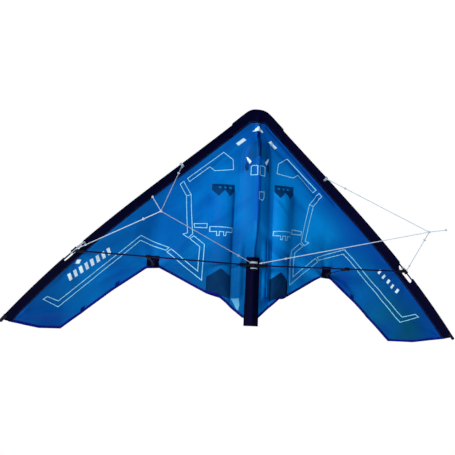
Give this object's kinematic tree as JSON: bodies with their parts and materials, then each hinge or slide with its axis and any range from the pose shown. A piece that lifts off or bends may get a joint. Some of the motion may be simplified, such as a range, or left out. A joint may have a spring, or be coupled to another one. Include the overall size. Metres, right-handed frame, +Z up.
{
  "type": "delta stunt kite",
  "caption": "Framed swept-wing two-line kite with blue ripstop sail, dark sleeves, rods, air tubes behind the sail and a taut bridle.",
  "frame": {"origin": "centre of the centre cross, on the axis of the spine", "axes": "+X to the right wing tip as the flyer sees it, +Z up the spine to the nose, -Y towards the flyer on the bridle side"},
  "size_m": [1.5732, 0.5795, 0.7338],
  "materials": {
    "ripstop_blue": "thin translucent ripstop nylon, satin",
    "navy_webbing": "dense woven polyester, matt",
    "teal_mesh": "dark open-weave cloth, matt",
    "carbon_rod": "wrapped and lacquered fibre rod",
    "black_rubber": "moulded, satin",
    "bridle_cord": "tight white braid"
  },
  "bodies": {
    "spine": {"spine_rod": "carbon_rod", "spine_pocket": "ripstop_blue", "spine_sleeve": "navy_webbing", "nose_block": "navy_webbing", "tail_cap": "black_rubber", "cross_hub": "black_rubber", "fuselage": "ripstop_blue"},
    "left_wing": {"left_sail": "ripstop_blue", "left_hem": "navy_webbing", "left_le_sleeve": "navy_webbing", "left_le_rod_upper": "carbon_rod", "left_le_rod_lower": "carbon_rod", "left_le_ferrule": "carbon_rod", "left_tip_cap": "black_rubber", "left_nose_cap": "navy_webbing", "left_spine_flap": "navy_webbing", "left_te_patch": "navy_webbing", "left_cross_arm": "black_rubber", "left_spreader": "carbon_rod", "left_le_connector": "black_rubber", "left_standoff_clip": "black_rubber", "left_standoff": "carbon_rod", "left_standoff_socket": "black_rubber", "left_intake": "teal_mesh", "left_nacelle": "ripstop_blue", "left_exhaust": "teal_mesh", "left_bridle_upper": "bridle_cord", "left_bridle_lower": "bridle_cord", "left_bridle_inhaul": "bridle_cord", "left_tow_knot": "bridle_cord", "left_pigtail": "bridle_cord"},
    "right_wing": {"right_sail": "ripstop_blue", "right_hem": "navy_webbing", "right_le_sleeve": "navy_webbing", "right_le_rod_upper": "carbon_rod", "right_le_rod_lower": "carbon_rod", "right_le_ferrule": "carbon_rod", "right_tip_cap": "black_rubber", "right_nose_cap": "navy_webbing", "right_spine_flap": "navy_webbing", "right_te_patch": "navy_webbing", "right_cross_arm": "black_rubber", "right_spreader": "carbon_rod", "right_le_connector": "black_rubber", "right_standoff_clip": "black_rubber", "right_standoff": "carbon_rod", "right_standoff_socket": "black_rubber", "right_intake": "teal_mesh", "right_nacelle": "ripstop_blue", "right_exhaust": "teal_mesh", "right_bridle_upper": "bridle_cord", "right_bridle_lower": "bridle_cord", "right_bridle_inhaul": "bridle_cord", "right_tow_knot": "bridle_cord", "right_pigtail": "bridle_cord"}
  },
  "joints": [
    {"name": "left_wing_fold", "type": "hinge", "parent": "spine", "child": "left_wing", "pos_m": [0, 0, 0], "axis": [0, 0, 1], "range_deg": [0, 30], "stiffness_Nm_per_rad": 0.3},
    {"name": "right_wing_fold", "type": "hinge", "parent": "spine", "child": "right_wing", "pos_m": [0, 0, 0], "axis": [0, 0, -1], "range_deg": [0, 30], "stiffness_Nm_per_rad": 0.3}
  ]
}
